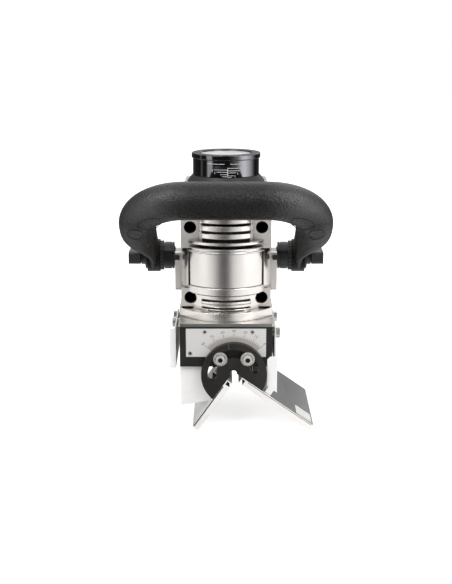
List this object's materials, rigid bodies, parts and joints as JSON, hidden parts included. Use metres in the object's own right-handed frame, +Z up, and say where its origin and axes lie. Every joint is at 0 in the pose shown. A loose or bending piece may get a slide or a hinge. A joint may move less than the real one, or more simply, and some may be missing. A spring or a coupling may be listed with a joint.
{
  "type": "edge beveling machine",
  "caption": "Hand-held edge beveling machine: scale dial over a ribbed gear housing, bow handle, motor behind and a tilting V guide round the cutter.",
  "frame": {"origin": "on the floor under the middle of the whole machine's box", "axes": "+Z up along the cutter's spindle, +Y back along the motor, +X to the right as seen from the front"},
  "size_m": [0.2, 0.4224, 0.2608],
  "materials": {
    "cast_alloy": "satin die-cast",
    "machined_alloy": "milled",
    "black_steel": "black oxide, satin",
    "scale_alloy": "fine satin with printed scale",
    "sheet_steel": "brushed",
    "light_sheet": "pale satin",
    "bright_screw": "bright",
    "dark_screw": "blackened",
    "hub_metal": "grey",
    "gloss_black": "gloss",
    "gloss_white": "gloss, printed",
    "grip_rubber": "grained",
    "black_plastic": "satin",
    "charcoal_plastic": "fine grain",
    "tool_steel": "ground",
    "carbide": "ground",
    "core_steel": "laminated",
    "copper": "enamelled wire",
    "bronze": "sintered",
    "carbon": "matt"
  },
  "bodies": {
    "machine": {"gear_housing": "cast_alloy", "housing_screws": "dark_screw", "bearing_plate": "cast_alloy", "spindle_bush": "bronze", "ball_bearings": "tool_steel", "dial_base": "black_steel", "carrier_top_plate": "machined_alloy", "front_plate": "black_steel", "scale_plate": "scale_alloy", "scale_screws": "bright_screw", "rear_plate": "machined_alloy", "left_side_wall": "machined_alloy", "right_side_wall": "machined_alloy", "left_guard": "light_sheet", "right_guard": "light_sheet", "guard_screws": "bright_screw", "clamp_washers": "bright_screw", "clamp_screws": "bright_screw", "handle_hubs": "hub_metal", "pivot_bolts": "dark_screw", "motor_housing": "charcoal_plastic", "tail_cover": "charcoal_plastic", "tail_screws": "bright_screw", "cable_inlet": "black_plastic", "switch_module": "black_plastic", "stator_core": "core_steel", "stator_windings": "copper", "brush_holders": "bronze", "carbon_brushes": "carbon"},
    "armature": {"armature_shaft": "tool_steel", "pinion": "tool_steel", "rotor_core": "core_steel", "rotor_windings": "copper", "commutator": "copper", "fan": "black_plastic"},
    "crown": {"crown_gear": "tool_steel"},
    "lift": {"lift_cartridge": "cast_alloy", "lift_bearing": "tool_steel"},
    "spindle_group": {"spindle": "tool_steel", "cutter_head": "tool_steel", "cutting_inserts": "carbide", "insert_screws": "dark_screw", "cutter_screw": "dark_screw"},
    "dial": {"dial_sleeve": "gloss_black", "dial_cap": "gloss_black", "dial_face": "gloss_white", "lift_nut": "machined_alloy"},
    "guide": {"front_quadrant": "black_steel", "rear_quadrant": "black_steel", "left_guide_bar": "machined_alloy", "right_guide_bar": "machined_alloy", "left_guide_sheet": "sheet_steel", "right_guide_sheet": "sheet_steel", "left_chip_shield": "light_sheet", "right_chip_shield": "light_sheet", "shield_screws": "bright_screw"},
    "handle": {"handle_grip": "grip_rubber"},
    "left_knob": {"left_clamp_knob": "black_plastic"},
    "right_knob": {"right_clamp_knob": "black_plastic"},
    "switch": {"switch_slider": "black_plastic"}
  },
  "joints": [
    {"name": "motor_spin", "type": "hinge", "parent": "machine", "child": "armature", "pos_m": [0, -0.10884, 0.1578], "axis": [0, 1, 0], "continuous": true},
    {"name": "crown_gear_spin", "type": "hinge", "parent": "machine", "child": "crown", "pos_m": [0, -0.10884, 0.12], "axis": [0, 0, 1], "continuous": true},
    {"name": "lift_slide", "type": "slide", "parent": "machine", "child": "lift", "axis": [0, 0, -1], "range_m": [0, 0.0075]},
    {"name": "spindle_spin", "type": "hinge", "parent": "lift", "child": "spindle_group", "pos_m": [0, -0.10884, 0.08], "axis": [0, 0, 1], "continuous": true},
    {"name": "dial_turn", "type": "hinge", "parent": "machine", "child": "dial", "pos_m": [0, -0.10884, 0.24], "axis": [0, 0, -1], "range_deg": [0, 300]},
    {"name": "bevel_angle", "type": "hinge", "parent": "machine", "child": "guide", "pos_m": [0.0076, -0.10884, 0.05555], "axis": [0, -1, 0], "range_deg": [-55, 35]},
    {"name": "handle_tilt", "type": "hinge", "parent": "machine", "child": "handle", "pos_m": [0, -0.10884, 0.1596], "axis": [-1, 0, 0], "range_deg": [-50, 20]},
    {"name": "left_clamp_turn", "type": "hinge", "parent": "machine", "child": "left_knob", "pos_m": [-0.085, -0.10884, 0.1596], "axis": [-1, 0, 0], "range_deg": [0, 180]},
    {"name": "right_clamp_turn", "type": "hinge", "parent": "machine", "child": "right_knob", "pos_m": [0.085, -0.10884, 0.1596], "axis": [1, 0, 0], "range_deg": [0, 180]},
    {"name": "switch_slide", "type": "slide", "parent": "machine", "child": "switch", "axis": [0, -1, 0], "range_m": [0, 0.008]}
  ],
  "couplings": [
    {"joint": "crown_gear_spin", "follows": "motor_spin", "ratio": 0.33333},
    {"joint": "spindle_spin", "follows": "motor_spin", "ratio": 0.33333},
    {"joint": "dial_turn", "follows": "lift_slide", "rad_per_m": 698.13}
  ]
}
